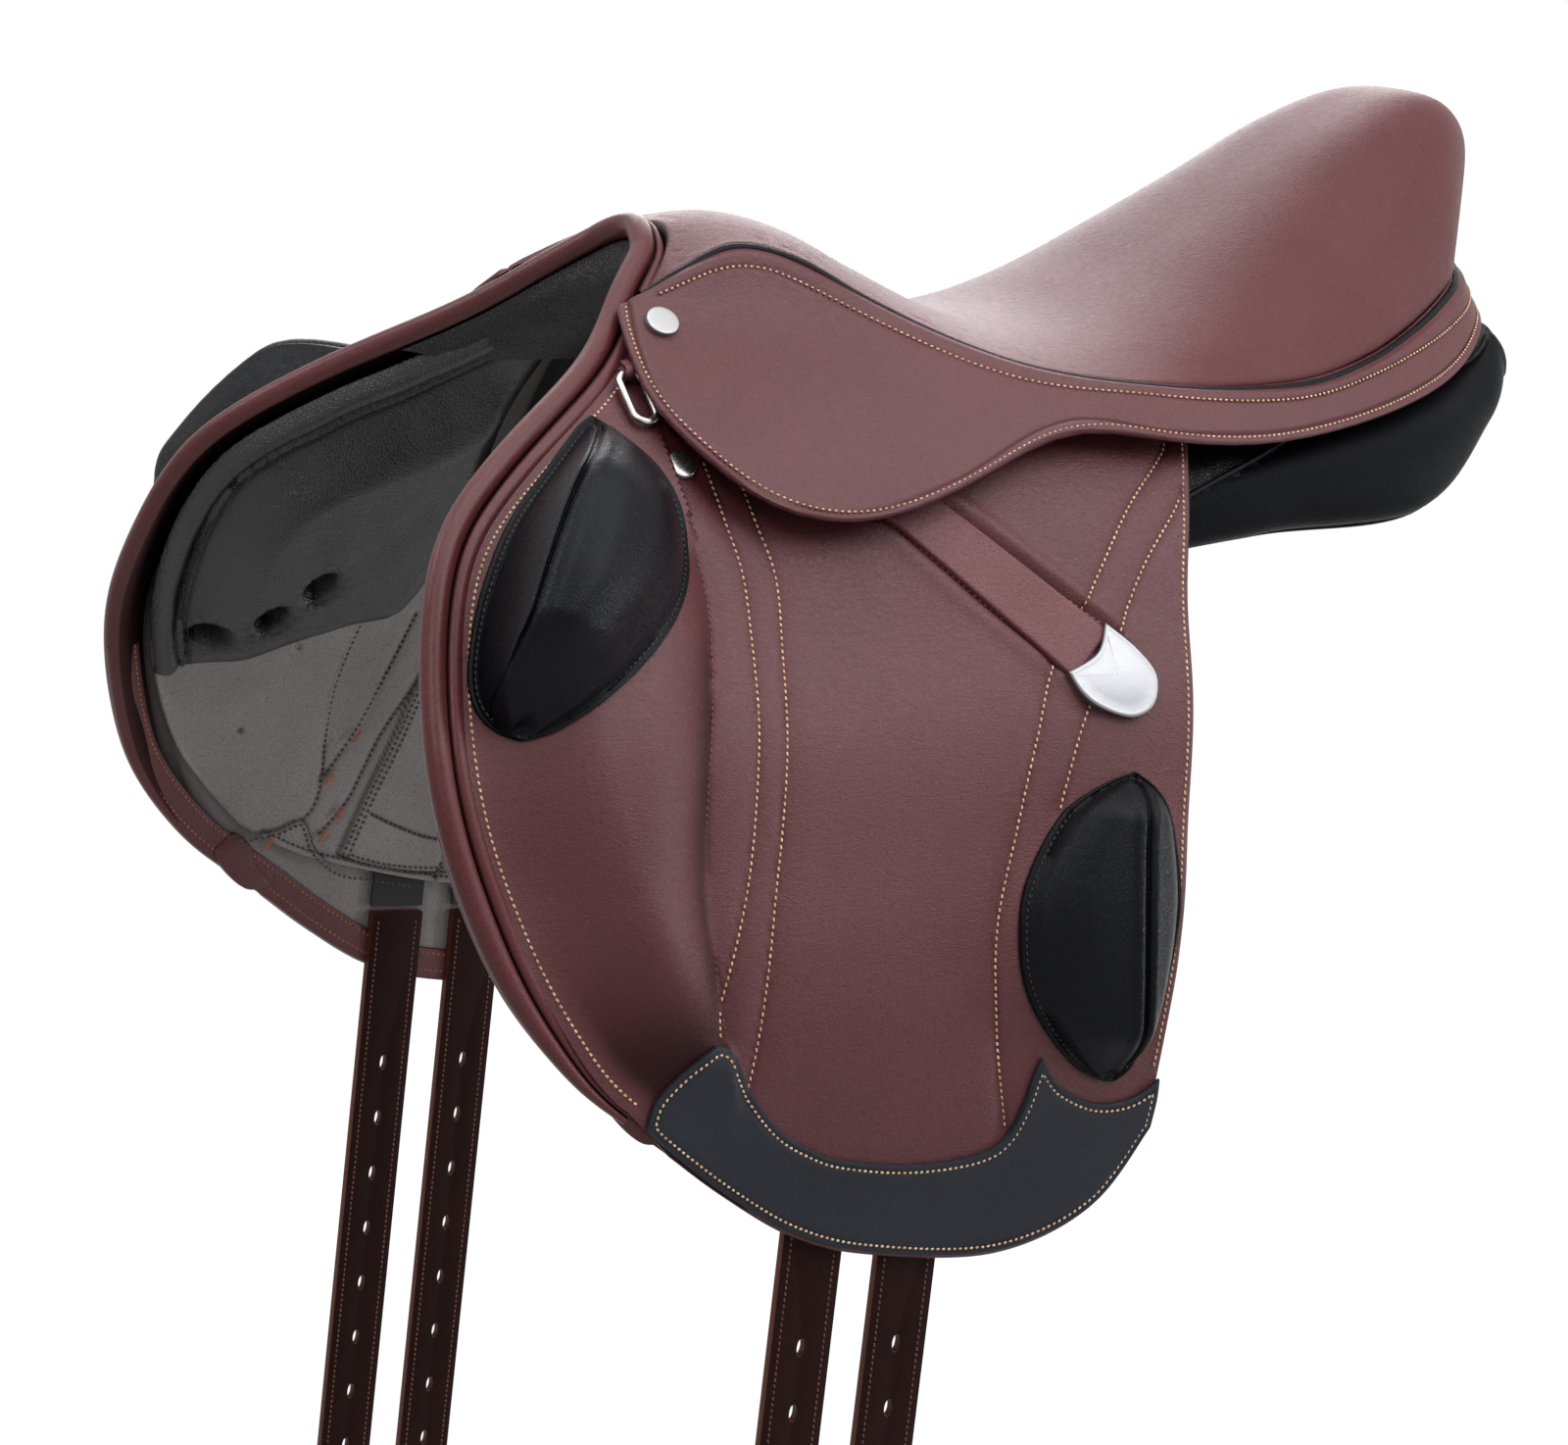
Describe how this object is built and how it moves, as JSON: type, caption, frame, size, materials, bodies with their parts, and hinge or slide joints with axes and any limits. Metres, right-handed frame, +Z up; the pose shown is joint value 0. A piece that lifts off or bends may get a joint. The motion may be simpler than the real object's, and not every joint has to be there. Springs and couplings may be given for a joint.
{
  "type": "eventing saddle",
  "caption": "Eventing saddle with long forward flaps, knee and thigh blocks, lifting skirts over stirrup bars, and hanging girth straps.",
  "frame": {"origin": "on the middle plane, below the deepest point of the seat, at the level where the panels rest on the horse's back", "axes": "+X towards the horse's head, +Y to the near (left) side, +Z up"},
  "size_m": [0.6256, 0.4998, 0.7915],
  "materials": {
    "black_leather": "smooth, satin",
    "brown_leather": "smooth, softly shining",
    "foam": "foam",
    "lining": "matt, fine grain",
    "nickel": "polished",
    "steel": "brushed",
    "strap_leather": "waxed",
    "tree_moulding": "matt",
    "webbing": "woven"
  },
  "bodies": {
    "saddle": {"channel_lining": "webbing", "front_roll": "brown_leather", "gullet_plate": "steel", "near_flap": "brown_leather", "near_flap_guard": "black_leather", "near_front_bar_rivet": "steel", "near_front_girth_web": "webbing", "near_front_panel": "black_leather", "near_keeper_tip": "nickel", "near_knee_block": "black_leather", "near_leather_keeper": "brown_leather", "near_nail": "nickel", "near_panel": "black_leather", "near_piping": "black_leather", "near_rear_bar_rivet": "steel", "near_rear_girth_web": "webbing", "near_ring_chape": "brown_leather", "near_skirt_band": "brown_leather", "near_stirrup_bar": "steel", "near_stud": "nickel", "near_sweat_flap": "lining", "near_thigh_block": "black_leather", "off_flap": "brown_leather", "off_flap_guard": "black_leather", "off_front_bar_rivet": "steel", "off_front_girth_web": "webbing", "off_front_panel": "black_leather", "off_keeper_tip": "nickel", "off_knee_block": "black_leather", "off_leather_keeper": "brown_leather", "off_nail": "nickel", "off_panel": "black_leather", "off_piping": "black_leather", "off_rear_bar_rivet": "steel", "off_rear_girth_web": "webbing", "off_ring_chape": "brown_leather", "off_skirt_band": "brown_leather", "off_stirrup_bar": "steel", "off_stud": "nickel", "off_sweat_flap": "lining", "off_thigh_block": "black_leather", "pommel_facing": "black_leather", "seat_cover": "brown_leather", "seat_foam": "foam", "tree_head": "tree_moulding", "tree_shell": "tree_moulding"},
    "near_skirt": {"near_skirt": "brown_leather"},
    "near_bar_catch": {"near_bar_catch": "steel"},
    "near_ring": {"near_ring": "nickel"},
    "near_front_strap": {"near_front_strap": "strap_leather"},
    "near_rear_strap": {"near_rear_strap": "strap_leather"},
    "off_skirt": {"off_skirt": "brown_leather"},
    "off_bar_catch": {"off_bar_catch": "steel"},
    "off_ring": {"off_ring": "nickel"},
    "off_front_strap": {"off_front_strap": "strap_leather"},
    "off_rear_strap": {"off_rear_strap": "strap_leather"}
  },
  "joints": [
    {"name": "near_skirt_lift", "type": "hinge", "parent": "saddle", "child": "near_skirt", "pos_m": [0.11636, 0.11388, 0.07533], "axis": [0.9283, -0.3237, 0.183], "range_deg": [0, 100]},
    {"name": "near_bar_catch_turn", "type": "hinge", "parent": "saddle", "child": "near_bar_catch", "pos_m": [0.07639, 0.12285, 0.05948], "axis": [-0.0843, -0.7092, -0.7], "range_deg": [0, 80]},
    {"name": "near_ring_swing", "type": "hinge", "parent": "saddle", "child": "near_ring", "pos_m": [0.20853, 0.09119, 0.07893], "axis": [0.0037, 0.6545, 0.756], "range_deg": [-35, 35]},
    {"name": "near_front_strap_swing", "type": "hinge", "parent": "saddle", "child": "near_front_strap", "pos_m": [0.18037, 0.21806, -0.23467], "axis": [-0.9933, 0.0497, -0.1044], "range_deg": [0, 35]},
    {"name": "near_rear_strap_swing", "type": "hinge", "parent": "saddle", "child": "near_rear_strap", "pos_m": [0.13537, 0.22032, -0.2394], "axis": [-0.9933, 0.0497, -0.1044], "range_deg": [0, 35]},
    {"name": "off_skirt_lift", "type": "hinge", "parent": "saddle", "child": "off_skirt", "pos_m": [0.11636, -0.11388, 0.07533], "axis": [-0.9283, -0.3237, -0.183], "range_deg": [0, 100]},
    {"name": "off_bar_catch_turn", "type": "hinge", "parent": "saddle", "child": "off_bar_catch", "pos_m": [0.07639, -0.12285, 0.05948], "axis": [0.0843, -0.7092, 0.7], "range_deg": [0, 80]},
    {"name": "off_ring_swing", "type": "hinge", "parent": "saddle", "child": "off_ring", "pos_m": [0.20853, -0.09119, 0.07893], "axis": [-0.0037, 0.6545, -0.756], "range_deg": [-35, 35]},
    {"name": "off_front_strap_swing", "type": "hinge", "parent": "saddle", "child": "off_front_strap", "pos_m": [0.18037, -0.21806, -0.23467], "axis": [0.9933, 0.0497, 0.1044], "range_deg": [0, 35]},
    {"name": "off_rear_strap_swing", "type": "hinge", "parent": "saddle", "child": "off_rear_strap", "pos_m": [0.13537, -0.22032, -0.2394], "axis": [0.9933, 0.0497, 0.1044], "range_deg": [0, 35]}
  ]
}
